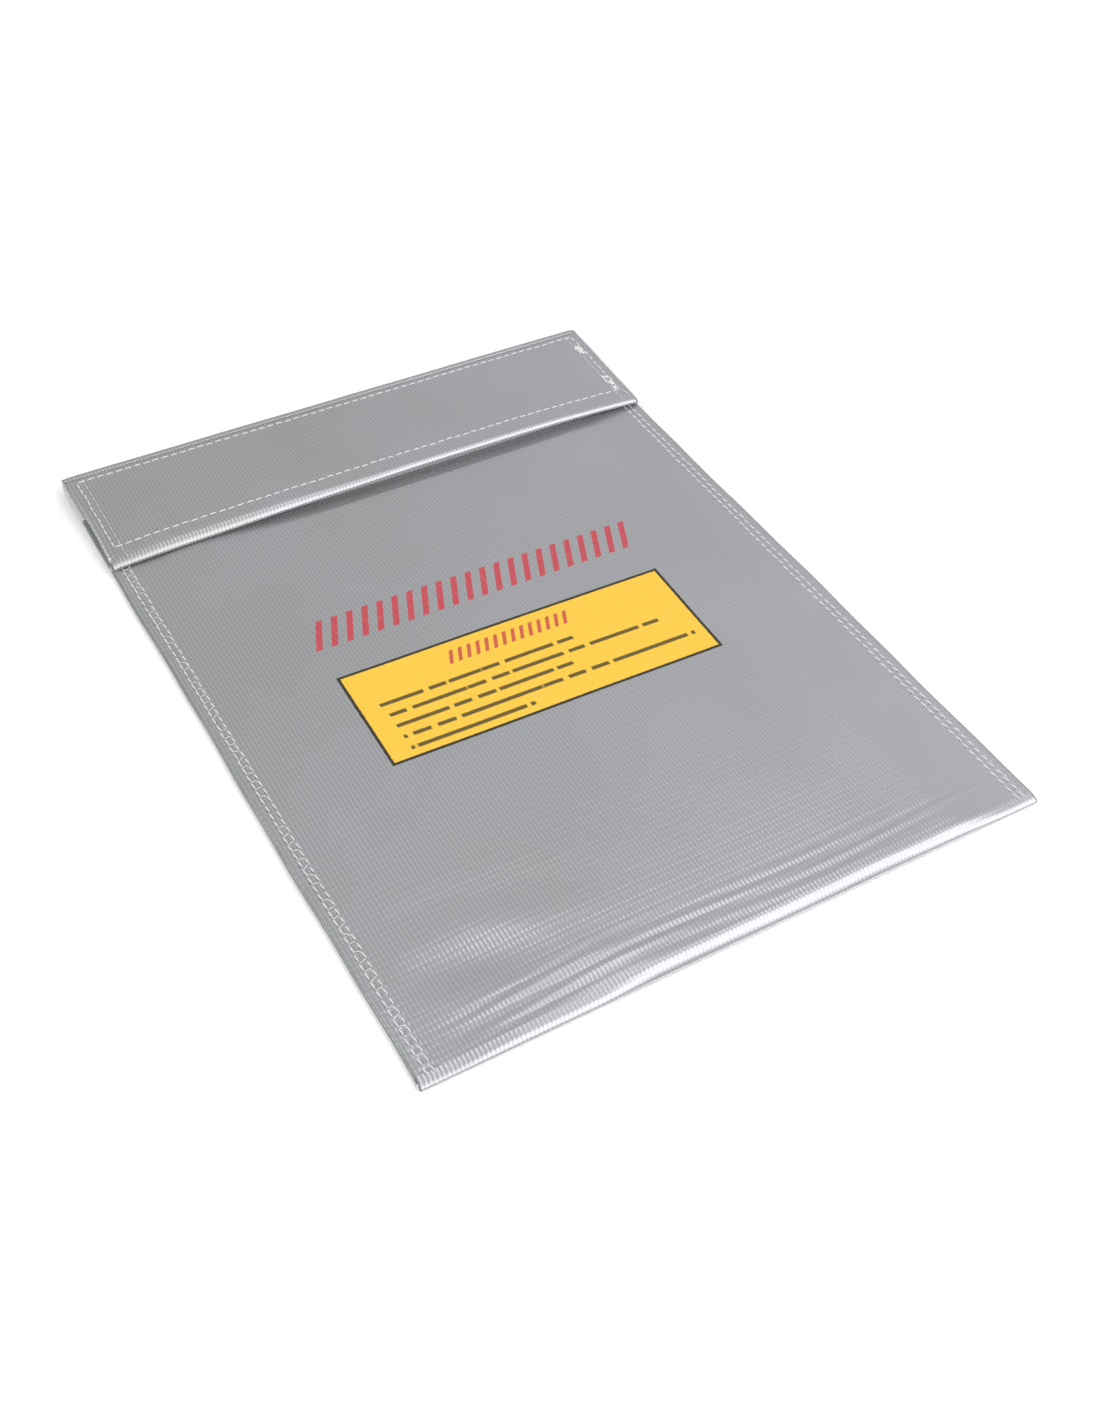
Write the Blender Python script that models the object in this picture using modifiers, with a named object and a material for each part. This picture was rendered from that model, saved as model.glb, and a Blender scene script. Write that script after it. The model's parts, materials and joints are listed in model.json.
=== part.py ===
"""Fire-resistant battery pouch: a sewn cloth pocket with a hook-and-loop flap.

Metres, +Z up. The closed pouch lies on its back on z = 0, centred on x = 0 and y = 0. The bottom
fold is at -Y and the top fold, which carries the flap, at +Y. The flap hinges on its crease.
"""

import math

import bmesh
import bpy
from mathutils import Matrix

# Driving sizes
BAG_WIDTH = 0.228
BAG_LENGTH = 0.305
POCKET_GAP = 0.0043
FLAP_DEPTH = 0.056
MOUTH_SETBACK = 0.0225

# Cloth and how closely its plies lie
CLOTH = 0.00045
PLY_GAP = 0.0003

# Side seams: two rows of stitches through a flat, pressed margin
SEAM_MARGIN = 0.0078
SEAM_RISE = 0.014
BOTTOM_RISE = 0.018
ALLOWANCE_WIDTH = 0.0073
SEAM_OUTER_ROW = 0.0037
SEAM_INNER_ROW = 0.0061

# Hems
MOUTH_HEM = 0.0065
FLAP_EDGE_HEM = 0.0072
FLAP_SIDE_HEM = 0.0054

# Hook-and-loop tape: a pile with a thin plain selvedge along both edges
LOOP_TAPE_COVER = 0.0022  # how far the flap's edge reaches past the loop tape
PILE_HEIGHT = 0.0006
SELVEDGE_HEIGHT = 0.00025
SELVEDGE_WIDTH = 0.002
HOOK_TAPE_INSET = 0.0014  # from where the flap starts to bend

# Threads. Side rows are measured in from the side edges, the flap's lower row up from its edge,
# and its upper row down from where the flap starts to bend
THREAD_WIDTH = 0.0006
THREAD_HEIGHT = 0.0003
THREAD_GAP = 0.0001
THREAD_END = 0.0012
FLAP_UPPER_ROW = 0.0028
FLAP_LOWER_ROW = 0.0085
FLAP_OUTER_ROW = 0.0042
FLAP_INNER_ROW = 0.0067
BACK_TACK_WIDTH = 0.0010
UPPER_TACK_BELOW_ROW = 0.0075
UPPER_TACK_LENGTH = 0.005
LOWER_TACK_ABOVE_ROW = 0.001
LOWER_TACK_LENGTH = 0.009

# Heights of the stack under the flap, worked out from the sheets above
FRONT_UNDERSIDE = CLOTH + POCKET_GAP
FRONT_TOP = FRONT_UNDERSIDE + CLOTH
LOOP_BASE = FRONT_TOP + PLY_GAP
LOOP_TOP = LOOP_BASE + PILE_HEIGHT
MOUTH_STITCH_TOP = LOOP_BASE + CLOTH + THREAD_GAP + THREAD_HEIGHT
HOOK_TIP = max(LOOP_TOP + PLY_GAP, MOUTH_STITCH_TOP + THREAD_GAP)
HOOK_BASE = HOOK_TIP + PILE_HEIGHT
FLAP_UNDERSIDE = HOOK_BASE + PLY_GAP
FLAP_TOP = FLAP_UNDERSIDE + CLOTH

# Heights in the side seam
ALLOWANCE_BASE = CLOTH + PLY_GAP
SEAM_UNDERSIDE = ALLOWANCE_BASE + CLOTH + PLY_GAP
SEAM_TOP = SEAM_UNDERSIDE + CLOTH

# Places along the bag
SIDE = BAG_WIDTH / 2
BOTTOM_EDGE = -BAG_LENGTH / 2
CREASE = BAG_LENGTH / 2
MOUTH = CREASE - MOUTH_SETBACK
FLAP_EDGE = CREASE - FLAP_DEPTH
BOTTOM_FOLD_RADIUS = SEAM_TOP / 2
TOP_FOLD_RADIUS = FLAP_TOP / 2
PANEL_START = BOTTOM_EDGE + BOTTOM_FOLD_RADIUS + PLY_GAP
PANEL_END = CREASE - TOP_FOLD_RADIUS - PLY_GAP
HINGE = (0.0, CREASE, FLAP_TOP / 2)

ARC_STEPS = 10
SLOPE_STEPS = 4


def clear_scene():
    for obj in list(bpy.data.objects):
        bpy.data.objects.remove(obj, do_unlink=True)


def new_collection(name):
    collection = bpy.data.collections.new(name)
    bpy.context.scene.collection.children.link(collection)
    return collection


def make_material(name, colour, roughness, metallic=0.0):
    material = bpy.data.materials.new(name)
    material.use_nodes = True
    shader = material.node_tree.nodes["Principled BSDF"]
    shader.inputs["Base Color"].default_value = (*colour, 1.0)
    shader.inputs["Roughness"].default_value = roughness
    shader.inputs["Metallic"].default_value = metallic
    return material


def link(obj, material, parent=None):
    """Puts the object in the bag's collection, and under the hinge if it moves with the flap."""
    obj.data.materials.append(material)
    BAG.objects.link(obj)
    if parent:
        obj.parent = parent
        obj.matrix_parent_inverse = Matrix.Translation(parent.location).inverted()
    return obj


def plate(name, low, high, material, parent=None):
    """A flat rectangular sheet between two corners."""
    mesh = bpy.data.meshes.new(name)
    shape = bmesh.new()
    bmesh.ops.create_cube(shape, size=1.0)
    size = [b - a for a, b in zip(low, high)]
    centre = [(a + b) / 2 for a, b in zip(low, high)]
    bmesh.ops.scale(shape, vec=size, verts=shape.verts)
    shape.to_mesh(mesh)
    shape.free()
    obj = bpy.data.objects.new(name, mesh)
    obj.location = centre
    return link(obj, material, parent)


def extruded(name, outline, half_length, material, parent=None):
    """A closed outline of (y, z) points, extruded along X to both sides of the middle."""
    curve = bpy.data.curves.new(name, "CURVE")
    curve.dimensions = "2D"
    curve.fill_mode = "BOTH"
    curve.extrude = half_length
    spline = curve.splines.new("POLY")
    spline.points.add(len(outline) - 1)
    for point, (y, z) in zip(spline.points, outline):
        point.co = (y, z, 0.0, 1.0)
    spline.use_cyclic_u = True
    obj = bpy.data.objects.new(name, curve)
    obj.rotation_euler = (math.pi / 2, 0.0, math.pi / 2)
    return link(obj, material, parent)


def half_ring(y, z, radius, thickness, facing):
    """Outline of a fold: a half ring about (y, z) that bulges towards -Y or +Y."""
    angles = [math.pi * (step / ARC_STEPS - 0.5) for step in range(ARC_STEPS + 1)]
    outer = [(y + facing * radius * math.cos(a), z + radius * math.sin(a)) for a in angles]
    inner_radius = radius - thickness
    inner = [
        (y + facing * inner_radius * math.cos(a), z + inner_radius * math.sin(a)) for a in angles
    ]
    return outer + inner[::-1]


def tape_outline(y_low, y_high, base, up):
    """Cross-section of a tape: selvedge, pile, selvedge. The pile stands up (+1) or down (-1)."""
    selvedge = base + up * SELVEDGE_HEIGHT
    tip = base + up * PILE_HEIGHT
    return [
        (y_low, base),
        (y_high, base),
        (y_high, selvedge),
        (y_high - SELVEDGE_WIDTH, selvedge),
        (y_high - SELVEDGE_WIDTH, tip),
        (y_low + SELVEDGE_WIDTH, tip),
        (y_low + SELVEDGE_WIDTH, selvedge),
        (y_low, selvedge),
    ]


def row_across(name, y, half_length, surface, material, parent=None):
    """A row of stitches along X, lying just above a surface."""
    low = (-half_length, y - THREAD_WIDTH / 2, surface + THREAD_GAP)
    high = (half_length, y + THREAD_WIDTH / 2, surface + THREAD_GAP + THREAD_HEIGHT)
    return plate(name, low, high, material, parent)


def row_along(name, x, y_low, y_high, surface, material, parent=None):
    """A row of stitches along Y, lying just above a surface."""
    low = (x - THREAD_WIDTH / 2, y_low, surface + THREAD_GAP)
    high = (x + THREAD_WIDTH / 2, y_high, surface + THREAD_GAP + THREAD_HEIGHT)
    return plate(name, low, high, material, parent)


def back_tack(name, y_low, y_high, thread, hinge):
    """A knot of doubled stitches between the two rows at the flap's right edge."""
    middle = SIDE - (FLAP_OUTER_ROW + FLAP_INNER_ROW) / 2
    base = FLAP_TOP + THREAD_GAP
    low = (middle - BACK_TACK_WIDTH / 2, y_low, base)
    high = (middle + BACK_TACK_WIDTH / 2, y_high, base + THREAD_HEIGHT)
    return plate(name, low, high, thread, hinge)


def ease(t):
    """Rises from 0 to 1 with level ends."""
    t = min(max(t, 0.0), 1.0)
    return t * t * (3 - 2 * t)


def panel_stations(start, rise, end):
    """Places along one side of the front panel: its start, the steps of its slope, and its end."""
    slope = [start + rise * step / SLOPE_STEPS for step in range(SLOPE_STEPS + 1)]
    return slope + [end]


def make_front_panel(material):
    """The pocket's front: flat over the pocket, sloping down to the side seams and the bottom."""
    half = panel_stations(SEAM_MARGIN, SEAM_RISE, SIDE)
    across = [-SIDE] + [s - SIDE for s in half] + [SIDE - s for s in half[-2::-1]] + [SIDE]
    along = panel_stations(PANEL_START, BOTTOM_RISE, MOUTH)
    mesh = bpy.data.meshes.new("front_panel")
    shape = bmesh.new()
    bmesh.ops.create_grid(
        shape, x_segments=len(across) - 1, y_segments=len(along) - 1, size=1.0
    )
    for vert in shape.verts:
        column = round((vert.co.x + 1) / 2 * (len(across) - 1))
        line = round((vert.co.y + 1) / 2 * (len(along) - 1))
        x = across[column]
        y = along[line]
        from_side = ease((SIDE - abs(x) - SEAM_MARGIN) / SEAM_RISE)
        from_bottom = ease((y - PANEL_START) / BOTTOM_RISE)
        height = (FRONT_UNDERSIDE - SEAM_UNDERSIDE) * from_side * from_bottom
        vert.co = (x, y, SEAM_UNDERSIDE + height)
    shape.to_mesh(mesh)
    shape.free()
    obj = bpy.data.objects.new("front_panel", mesh)
    wall = obj.modifiers.new("cloth", "SOLIDIFY")
    wall.thickness = CLOTH
    wall.offset = 1.0
    return link(obj, material)


def make_pouch(cloth, allowance):
    """The pocket: back panel, bottom fold, front panel and the edges turned into its seams."""
    plate("back_panel", (-SIDE, PANEL_START, 0.0), (SIDE, PANEL_END, CLOTH), cloth)
    fold_centre = BOTTOM_EDGE + BOTTOM_FOLD_RADIUS
    outline = half_ring(fold_centre, SEAM_TOP / 2, BOTTOM_FOLD_RADIUS, CLOTH, -1)
    extruded("bottom_fold", outline, SIDE, cloth)
    make_front_panel(cloth)
    for side, name in ((-1, "left"), (1, "right")):
        edges = sorted((side * (SIDE - PLY_GAP), side * (SIDE - ALLOWANCE_WIDTH)))
        low = (edges[0], PANEL_START, ALLOWANCE_BASE)
        high = (edges[1], MOUTH, ALLOWANCE_BASE + CLOTH)
        plate(name + "_seam_allowance", low, high, allowance)


def make_seam_stitching(thread):
    """Two rows of stitches down each side seam, from the mouth to the bottom fold."""
    for side, name in ((-1, "left"), (1, "right")):
        for row, inset in (("outer", SEAM_OUTER_ROW), ("inner", SEAM_INNER_ROW)):
            row_along(
                f"{name}_{row}_seam_stitching",
                side * (SIDE - inset),
                PANEL_START + THREAD_END,
                MOUTH - THREAD_END,
                SEAM_TOP,
                thread,
            )


def make_mouth(cloth, tape, thread):
    """The hem along the pocket's mouth and the loop tape below it, each with its stitches.

    The tape fills the space between the hem and the flap's edge, and the flap covers it.
    """
    half = SIDE - SEAM_MARGIN - SEAM_RISE
    hem_low = MOUTH - MOUTH_HEM
    plate("mouth_hem", (-half, hem_low, LOOP_BASE), (half, MOUTH, LOOP_BASE + CLOTH), cloth)
    row_across(
        "mouth_hem_stitching",
        MOUTH - MOUTH_HEM / 2,
        half - THREAD_END,
        LOOP_BASE + CLOTH,
        thread,
    )
    tape_high = hem_low - PLY_GAP
    tape_low = FLAP_EDGE + LOOP_TAPE_COVER
    extruded("loop_tape", tape_outline(tape_low, tape_high, LOOP_BASE, 1), half, tape)
    rows = (
        ("loop_tape_upper_stitching", tape_high - SELVEDGE_WIDTH / 2),
        ("loop_tape_lower_stitching", tape_low + SELVEDGE_WIDTH / 2),
    )
    for name, y in rows:
        row_across(name, y, half - THREAD_END, LOOP_BASE + SELVEDGE_HEIGHT, thread)


def make_flap(hinge, cloth, tape):
    """The flap's cloth with its turned edges, and the hook tape under it."""
    plate(
        "flap_cover",
        (-SIDE, FLAP_EDGE, FLAP_UNDERSIDE),
        (SIDE, PANEL_END, FLAP_TOP),
        cloth,
        hinge,
    )
    hem_top = HOOK_BASE
    hem_bottom = HOOK_BASE - CLOTH
    edge_hem_high = FLAP_EDGE + FLAP_EDGE_HEM
    inner_edge = SIDE - FLAP_SIDE_HEM - PLY_GAP
    plate(
        "flap_edge_hem",
        (-inner_edge, FLAP_EDGE, hem_bottom),
        (inner_edge, edge_hem_high, hem_top),
        cloth,
        hinge,
    )
    for side, name in ((-1, "left"), (1, "right")):
        edges = sorted((side * SIDE, side * (SIDE - FLAP_SIDE_HEM)))
        low = (edges[0], FLAP_EDGE, hem_bottom)
        high = (edges[1], PANEL_END, hem_top)
        plate(f"flap_{name}_hem", low, high, cloth, hinge)
    tape_low = edge_hem_high + PLY_GAP
    outline = tape_outline(tape_low, PANEL_END - HOOK_TAPE_INSET, HOOK_BASE, -1)
    extruded("hook_tape", outline, inner_edge, tape, hinge)


def make_flap_stitching(hinge, thread):
    """The rectangle of stitches round the hook tape, the second side rows and the back-tacks."""
    upper = PANEL_END - FLAP_UPPER_ROW
    lower = FLAP_EDGE + FLAP_LOWER_ROW
    across = SIDE - FLAP_INNER_ROW - THREAD_WIDTH
    row_across("flap_upper_stitching", upper, across, FLAP_TOP, thread, hinge)
    row_across("flap_lower_stitching", lower, across, FLAP_TOP, thread, hinge)
    for side, name in ((-1, "left"), (1, "right")):
        row_along(
            f"flap_{name}_outer_stitching",
            side * (SIDE - FLAP_OUTER_ROW),
            lower,
            upper,
            FLAP_TOP,
            thread,
            hinge,
        )
        row_along(
            f"flap_{name}_inner_stitching",
            side * (SIDE - FLAP_INNER_ROW),
            FLAP_EDGE + THREAD_END,
            PANEL_END - THREAD_END,
            FLAP_TOP,
            thread,
            hinge,
        )
    upper_tack = upper - UPPER_TACK_BELOW_ROW
    back_tack("flap_upper_back_tack", upper_tack - UPPER_TACK_LENGTH, upper_tack, thread, hinge)
    lower_tack = lower + LOWER_TACK_ABOVE_ROW
    back_tack("flap_lower_back_tack", lower_tack, lower_tack + LOWER_TACK_LENGTH, thread, hinge)


def make_top_fold(cloth):
    """The crease between back panel and flap: cloth that bends as the flap swings."""
    outline = half_ring(CREASE - TOP_FOLD_RADIUS, FLAP_TOP / 2, TOP_FOLD_RADIUS, CLOTH, 1)
    extruded("flap_fold", outline, SIDE, cloth)


def make_hinge():
    hinge = bpy.data.objects.new("flap_hinge", None)
    hinge.location = HINGE
    BAG.objects.link(hinge)
    return hinge


clear_scene()
BAG = new_collection("lipo_safe_bag")
silver_cloth = make_material("coated_cloth", (0.38, 0.39, 0.41), 0.45, 0.25)
inner_cloth = make_material("uncoated_cloth", (0.72, 0.73, 0.70), 0.85)
tape_weave = make_material("hook_and_loop_tape", (0.60, 0.60, 0.59), 0.9)
sewing_thread = make_material("sewing_thread", (0.78, 0.78, 0.76), 0.7)
flap_hinge = make_hinge()
make_pouch(silver_cloth, inner_cloth)
make_seam_stitching(sewing_thread)
make_mouth(silver_cloth, tape_weave, sewing_thread)
make_top_fold(silver_cloth)
make_flap(flap_hinge, silver_cloth, tape_weave)
make_flap_stitching(flap_hinge, sewing_thread)
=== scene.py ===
import json
import math

import bpy
import numpy as np
from mathutils import Matrix, Vector


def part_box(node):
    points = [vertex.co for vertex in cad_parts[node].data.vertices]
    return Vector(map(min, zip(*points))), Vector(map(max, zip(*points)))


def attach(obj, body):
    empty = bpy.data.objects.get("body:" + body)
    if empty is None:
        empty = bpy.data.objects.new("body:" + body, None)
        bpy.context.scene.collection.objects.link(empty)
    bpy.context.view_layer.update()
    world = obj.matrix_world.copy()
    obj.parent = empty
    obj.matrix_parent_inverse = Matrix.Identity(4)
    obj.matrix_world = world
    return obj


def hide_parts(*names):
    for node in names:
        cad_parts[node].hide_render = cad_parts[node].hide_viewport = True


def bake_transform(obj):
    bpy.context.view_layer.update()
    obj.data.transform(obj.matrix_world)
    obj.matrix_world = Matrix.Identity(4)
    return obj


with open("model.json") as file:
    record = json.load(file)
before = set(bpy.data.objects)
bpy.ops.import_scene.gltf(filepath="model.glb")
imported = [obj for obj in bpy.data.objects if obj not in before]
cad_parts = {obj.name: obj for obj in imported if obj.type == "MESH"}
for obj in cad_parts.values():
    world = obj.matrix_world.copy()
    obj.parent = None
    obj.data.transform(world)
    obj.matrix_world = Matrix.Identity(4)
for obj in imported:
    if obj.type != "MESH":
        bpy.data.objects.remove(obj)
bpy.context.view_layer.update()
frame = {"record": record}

mm = 0.001

# Places along the bag, all read from the frame.
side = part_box("front_panel")[1].x
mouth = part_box("front_panel")[1].y
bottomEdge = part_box("bottom_fold")[0].y
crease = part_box("flap_fold")[1].y
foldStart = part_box("flap_cover")[1].y
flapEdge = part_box("flap_cover")[0].y
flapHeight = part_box("flap_cover")[1].z
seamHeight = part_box("bottom_fold")[1].z

clothThickness = 0.40 * mm
stitchPitch = 3.7 * mm
# how far a turned-in ply stays behind a rounded edge, as a multiple of its depth
tuck = 2.2
random = np.random.default_rng(7)


def eased(t):
    # 0 below 0, 1 above 1, a smooth step between
    t = np.clip(t, 0.0, 1.0)
    return t * t * (3 - 2 * t)


def bump01(t):
    # a bell from 0 to 1 to 0 as t goes from -1 to 1
    return 1 - eased(np.abs(t))


def throughKnots(knots, t):
    # A smooth curve through the knots, at places t that count knots: cubics, whose slope at a
    # knot is half the way from the knot before it to the one after it.
    i = np.clip(t.astype(int), 0, len(knots) - 2)
    s = (t - i)[:, None]
    ends = np.vstack([2 * knots[0] - knots[1], knots, 2 * knots[-1] - knots[-2]])
    a, b, c, d = (ends[i + k] for k in range(4))
    curve = 0.5 * (2 * b + (c - a) * s + (2 * a - 5 * b + 4 * c - d) * s**2)
    return curve + 0.5 * (3 * b - a - 3 * c + d) * s**3


class Paint:
    # One material: makes its nodes, and feeds its Principled shader.
    def __init__(self, name):
        self.material = bpy.data.materials.new(name)
        self.material.use_nodes = True
        self.tree = self.material.node_tree
        self.shader = self.tree.nodes["Principled BSDF"]

    def put(self, target, value):
        if isinstance(value, Wire):
            self.tree.links.new(value.socket, target)
        elif value is not None:
            target.default_value = value

    def add(self, kind, settings=None, **sockets):
        node = self.tree.nodes.new(kind)
        for name, value in (settings or {}).items():
            setattr(node, name, value)
        for name, value in sockets.items():
            self.put(node.inputs[name], value)
        return node

    def wire(self, node, output=0):
        return Wire(self, node.outputs[output])

    def math(self, operation, *values):
        node = self.add("ShaderNodeMath", {"operation": operation})
        for target, value in zip(node.inputs, values):
            self.put(target, value)
        return self.wire(node)

    def mix(self, share, low, high, blend="MIX"):
        node = self.add("ShaderNodeMix", {"data_type": "RGBA", "blend_type": blend})
        self.put(node.inputs[0], share)
        self.put(node.inputs[6], low)
        self.put(node.inputs[7], high)
        return self.wire(node, 2)

    def noise(self, place, scale, detail=3.0):
        node = self.add("ShaderNodeTexNoise", Scale=scale, Detail=detail, Roughness=0.55)
        self.put(node.inputs["Vector"], place)
        return self.wire(node)

    def stretch(self, place, scale):
        node = self.add("ShaderNodeMapping", Scale=scale)
        self.put(node.inputs["Vector"], place)
        return self.wire(node)

    def along(self):
        # the cloth's own coordinates, in millimetres: across it, and along its length
        split = self.add("ShaderNodeSeparateXYZ")
        self.put(split.inputs[0], self.uv())
        return self.wire(split, 0) * 1000, self.wire(split, 1) * 1000

    def uv(self):
        return self.wire(self.add("ShaderNodeUVMap", {"uv_map": "cloth"}))

    def object(self):
        return self.wire(self.add("ShaderNodeTexCoord"), 3)

    def finish(self, colour=None, roughness=None, height=None, relief=0.1 * mm, metal=None):
        self.put(self.shader.inputs["Base Color"], colour)
        self.put(self.shader.inputs["Roughness"], roughness)
        self.put(self.shader.inputs["Metallic"], metal)
        if height is not None:
            node = self.add("ShaderNodeBump", Distance=relief)
            self.put(node.inputs["Height"], height)
            self.put(self.shader.inputs["Normal"], self.wire(node))
        return self.material


class Wire:
    # A socket that can be added, subtracted, multiplied and raised to a power like a number.
    def __init__(self, paint, socket):
        self.paint = paint
        self.socket = socket

    def __add__(self, other):
        return self.paint.math("ADD", self, other)

    def __radd__(self, other):
        return self.paint.math("ADD", other, self)

    def __sub__(self, other):
        return self.paint.math("SUBTRACT", self, other)

    def __rsub__(self, other):
        return self.paint.math("SUBTRACT", other, self)

    def __mul__(self, other):
        return self.paint.math("MULTIPLY", self, other)

    def __pow__(self, other):
        return self.paint.math("POWER", self, other)

    def wave(self, period):
        # 1 on the crowns and 0 in the furrows of a wave of that period
        return self.paint.math("COSINE", self * (2 * math.pi / period)) * 0.5 + 0.5

    def between(self, low, high, soft):
        # 1 between low and high, with soft edges of that width
        rise = self.paint.math("MULTIPLY_ADD", self, 1 / soft, 0.5 - low / soft)
        fall = self.paint.math("MULTIPLY_ADD", self, -1 / soft, 0.5 + high / soft)
        both = self.paint.math("MINIMUM", rise, fall)
        return self.paint.math("MINIMUM", self.paint.math("MAXIMUM", both, 0.0), 1.0)


def newPiece(name, points, faces, uv=None, smooth=True):
    mesh = bpy.data.meshes.new(name)
    mesh.from_pydata(points.reshape(-1, 3), [], faces.tolist())
    if uv is not None:
        layer = mesh.uv_layers.new(name="cloth")
        corner = np.empty(len(mesh.loops), np.int32)
        mesh.loops.foreach_get("vertex_index", corner)
        layer.data.foreach_set("uv", uv.reshape(-1, 2)[corner].astype(np.float32).ravel())
    mesh.polygons.foreach_set("use_smooth", np.full(len(mesh.polygons), smooth))
    mesh.update()
    piece = bpy.data.objects.new(name, mesh)
    bpy.context.scene.collection.objects.link(piece)
    return piece


def gridFaces(rows, columns, flip):
    # the quads of a grid of points
    index = np.arange(rows * columns).reshape(rows, columns)
    quads = np.stack([index[:-1, :-1], index[:-1, 1:], index[1:, 1:], index[1:, :-1]], -1)
    quads = quads.reshape(-1, 4)
    return quads[:, ::-1] if flip else quads


def clothPiece(name, points, uv, outside, inside, cut, thickness=clothThickness, flip=True):
    # a sheet given by its outer face, with its inner face and its cut edges; it thickens inwards
    rows, columns = points.shape[:2]
    piece = newPiece(name, points, gridFaces(rows, columns, flip), uv)
    for material in (outside, inside, cut):
        piece.data.materials.append(material)
    wall = piece.modifiers.new("thickness", "SOLIDIFY")
    wall.thickness = thickness
    wall.offset = -1.0
    wall.material_offset = 1
    wall.material_offset_rim = 2
    wall.use_quality_normals = True
    return piece


def runLength(points):
    # length along the rows of a grid of points, as a grid
    steps = np.linalg.norm(np.diff(points, axis=0), axis=2)
    return np.vstack([np.zeros(points.shape[1]), np.cumsum(steps, axis=0)])


def flatPlaces(across, points):
    # where each point of a grid lies on the flat cloth: across it, and along it
    return np.stack([np.broadcast_to(across, points.shape[:2]), runLength(points)], -1)


def straightened(uv):
    # one length for all columns, so that the weave stays square to the bag
    uv[..., 1] = uv[:, uv.shape[1] // 2, 1][:, None]
    return uv


def turnedEdge(u, half, radius):
    # Where a point u across the flat cloth lies once the edge is turned in, flat, round a half
    # circle, and back under: its x, and its depth below the face.
    out = np.abs(u) - (half - radius)
    angle = np.clip(out / radius, 0, math.pi)
    back = np.maximum(out - math.pi * radius, 0)
    flat = np.minimum(np.abs(u), half - radius)
    x = flat + radius * np.sin(angle) - back
    return np.sign(u) * x, radius * (1 - np.cos(angle))


stations = {"margin": 9 * mm, "coarse": 2.3 * mm, "turnSteps": 6, "underSteps": 3}


def acrossStations(half, radius, turnedIn, fine):
    # places across the cloth: coarse in the middle, fine near the seams, and round the turned edge
    margin = stations["margin"]
    coarseSteps = round((half - margin) / stations["coarse"])
    middle = np.linspace(0, half - margin, coarseSteps + 1)
    near = np.linspace(half - margin, half - radius, round((margin - radius) / fine) + 1)[1:]
    turn = half - radius + radius * math.pi * np.linspace(0, 1, stations["turnSteps"] + 1)[1:]
    under = turn[-1] + np.linspace(0, turnedIn, stations["underSteps"] + 1)[1:]
    right = np.concatenate([middle, near, turn, under])
    return np.concatenate([-right[:0:-1], right])


pouch = {
    "margin": 7.8 * mm,
    "sideRise": 28 * mm,
    "pocketHeight": 1.8 * mm,
    "bottomExtra": 0.1 * mm,
    "bottomRise": 24 * mm,
    "tapeHeight": 3.0 * mm,
    "tapeRise": (0.5 * mm, 6 * mm),
    "turnRadius": 0.42 * mm,
    "turnedIn": 7.0 * mm,
    "restHeight": 0.2 * mm,
    "sideStep": 0.75 * mm,
    "rowsPerStitch": 3,
    "fineBand": 28 * mm,
    "backRows": 57,
}

# the cloth's slow waves, as (height, across, up, start)
waves = (
    (0.09 * mm, 19 * mm, 41 * mm, 1.3),
    (0.11 * mm, 37 * mm, -15 * mm, 0.4),
    (0.03 * mm, 11 * mm, 23 * mm, 2.9),
)

# finer ripples across the bag, each in a band given by its middle and half width
rippleKinds = {
    "low": {
        "height": 0.11 * mm,
        "period": 5.2 * mm,
        "bend": (2.2 * mm, 27 * mm),
        "up": (bottomEdge + 12 * mm, 12 * mm),
    },
    "lowFine": {
        "height": 0.045 * mm,
        "period": 3.4 * mm,
        "slant": -0.03,
        "bend": (1.3 * mm, 23 * mm),
        "up": (bottomEdge + 12 * mm, 12 * mm),
    },
    "high": {
        "height": 0.085 * mm,
        "period": 3.1 * mm,
        "slant": 0.05,
        "bend": (1.1 * mm, 17 * mm),
        "up": (flapEdge - 15 * mm, 11 * mm),
        "across": (-45 * mm, 75 * mm),
    },
    "dents": {
        "height": 0.34 * mm,
        "period": 25 * mm,
        "slant": 0.30,
        "bend": (4 * mm, 31 * mm),
        "shift": 16.6 * mm,
        "up": (bottomEdge + 30 * mm, 46 * mm),
        "across": (-84 * mm, 70 * mm),
        "sideFade": 12 * mm,
    },
}

# the slanted creases across the bottom corners: the share of the height that goes, and how far up
# the side and in along the bottom each one runs
corners = {
    "left": {"share": 0.62, "up": 80 * mm, "inwards": 74 * mm},
    "right": {"share": 0.3, "up": 40 * mm, "inwards": 62 * mm},
    "soft": 20 * mm,
}

# the hollow under the flap's edge, broad and then narrow, which is missing at the left; each start
# is below the edge, or left of the middle
hollow = {
    "depth": 1.75 * mm,
    "broad": {"share": 0.2, "start": 26 * mm, "length": 24 * mm},
    "narrow": {"share": 0.8, "start": 6.5 * mm, "length": 7 * mm},
    "left": {"start": 95 * mm, "length": 80 * mm},
}


def slowWaves(x, y):
    # the sum of height * sin(x / across + y / up + start)
    return sum(high * np.sin(x / across + y / up + start) for high, across, up, start in waves)


def ripple(x, y, name):
    # height * sin(2 pi * place / period), where place goes up the bag, slanted and gently bent
    kind = rippleKinds[name]
    bend, across = kind["bend"]
    place = y + kind.get("slant", 0) * x + bend * np.sin(x / across) + kind.get("shift", 0)
    height = kind["height"] * np.sin(2 * math.pi * place / kind["period"])
    for value, band in ((y, kind["up"]), (x, kind.get("across"))):
        if band:
            height = height * bump01((value - band[0]) / band[1])
    return height


def cornerFold(x, y, sideSign, corner):
    # the share of the height that is gone inside a bottom corner's slanted crease, 0 outside it
    along = (side - sideSign * x) / corner["inwards"]
    up = (y - bottomEdge) / corner["up"]
    out = (along + up - 1) * math.hypot(corner["inwards"], corner["up"]) / 2
    return corner["share"] * (1 - eased(out / corners["soft"] + 0.5))


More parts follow.
